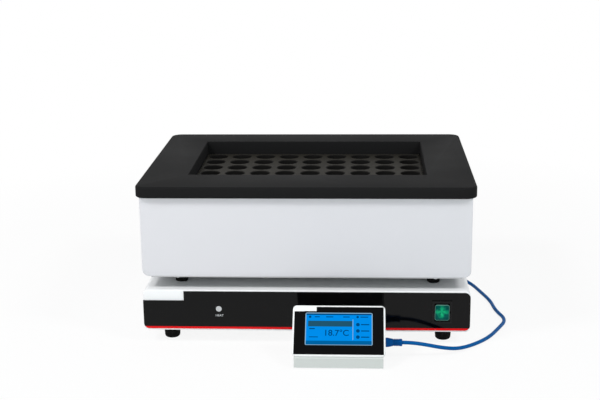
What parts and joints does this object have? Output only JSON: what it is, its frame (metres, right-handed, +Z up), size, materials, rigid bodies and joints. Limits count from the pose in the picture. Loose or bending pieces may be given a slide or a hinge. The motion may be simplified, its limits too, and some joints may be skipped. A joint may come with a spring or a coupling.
{
  "type": "block digestion system",
  "caption": "Bench heating module with a recessed graphite well block, on a flat base unit with power switch, and a tilted touch controller on a patch cable",
  "frame": {"origin": "bottom centre of the bounding box of the two units and the controller, on the bench", "axes": "+Z up, the front faces -Y, +X to the right seen from the front"},
  "size_m": [0.5456, 0.5355, 0.2345],
  "materials": {
    "black_paint": "matte black powder coat",
    "white_paint": "satin white powder coat",
    "graphite": "machined graphite, matte",
    "gloss_black": "gloss black acrylic overlay",
    "red_plastic": "gloss red strip",
    "pale_plastic": "pale moulded plastic",
    "lens_grey": "pale lens",
    "green_lens": "green translucent rocker",
    "black_plastic": "moulded black plastic",
    "black_rubber": "rubber",
    "steel": "steel sheet",
    "aluminium": "aluminium",
    "brass": "plated brass",
    "silicone": "silicone rubber mat",
    "fibre": "mineral fibre board",
    "board_green": "circuit board laminate",
    "screen_glass": "glass front of the touch panel",
    "screen_blue": "lit display",
    "clear_plastic": "clear polycarbonate",
    "cable_blue": "blue cable jacket"
  },
  "bodies": {
    "unit": {"top_surround": "black_paint", "graphite_block": "graphite", "heater_mat": "silicone", "clamp_plate": "aluminium", "base_insulation": "fibre", "side_insulation": "fibre", "thermal_cutout": "black_plastic", "block_posts": "steel", "temperature_probe": "steel", "wiring_duct": "steel", "heater_wrap": "white_paint", "heater_front_panel": "white_paint", "heater_rear_panel": "white_paint", "heater_bottom_cover": "steel", "spacer_feet": "black_rubber", "base_feet": "black_rubber", "base_cover": "white_paint", "base_tray": "white_paint", "base_front_plate": "white_paint", "front_fascia": "gloss_black", "red_trim": "red_plastic", "heat_indicator": "lens_grey", "indicator_holder": "black_plastic", "switch_housing": "black_plastic", "switch_terminals": "brass", "rocker_lamp": "lens_grey", "base_rear_panel": "white_paint", "mains_inlet": "black_plastic", "inlet_pins": "brass", "data_socket": "black_plastic", "board_standoffs": "brass", "control_board": "board_green", "power_supply": "black_plastic", "board_parts": "black_plastic", "relay_heat_sink": "aluminium", "solid_state_relay": "black_plastic", "terminal_block": "pale_plastic", "controller_case": "pale_plastic", "controller_bezel": "pale_plastic", "controller_fascia": "gloss_black", "touch_panel": "screen_glass", "lcd_module": "screen_blue", "screen_spacers": "brass", "controller_board": "board_green", "controller_jack": "black_plastic", "controller_pads": "black_rubber", "controller_plug": "clear_plastic", "controller_boot": "cable_blue", "base_plug": "clear_plastic", "base_boot": "cable_blue", "patch_cable": "cable_blue"},
    "rocker": {"power_rocker": "green_lens"}
  },
  "joints": [
    {"name": "rocker_hinge", "type": "hinge", "parent": "unit", "child": "rocker", "pos_m": [0.1965, -0.1365, 0.0503], "axis": [1, 0, 0], "range_deg": [0, 20]}
  ]
}
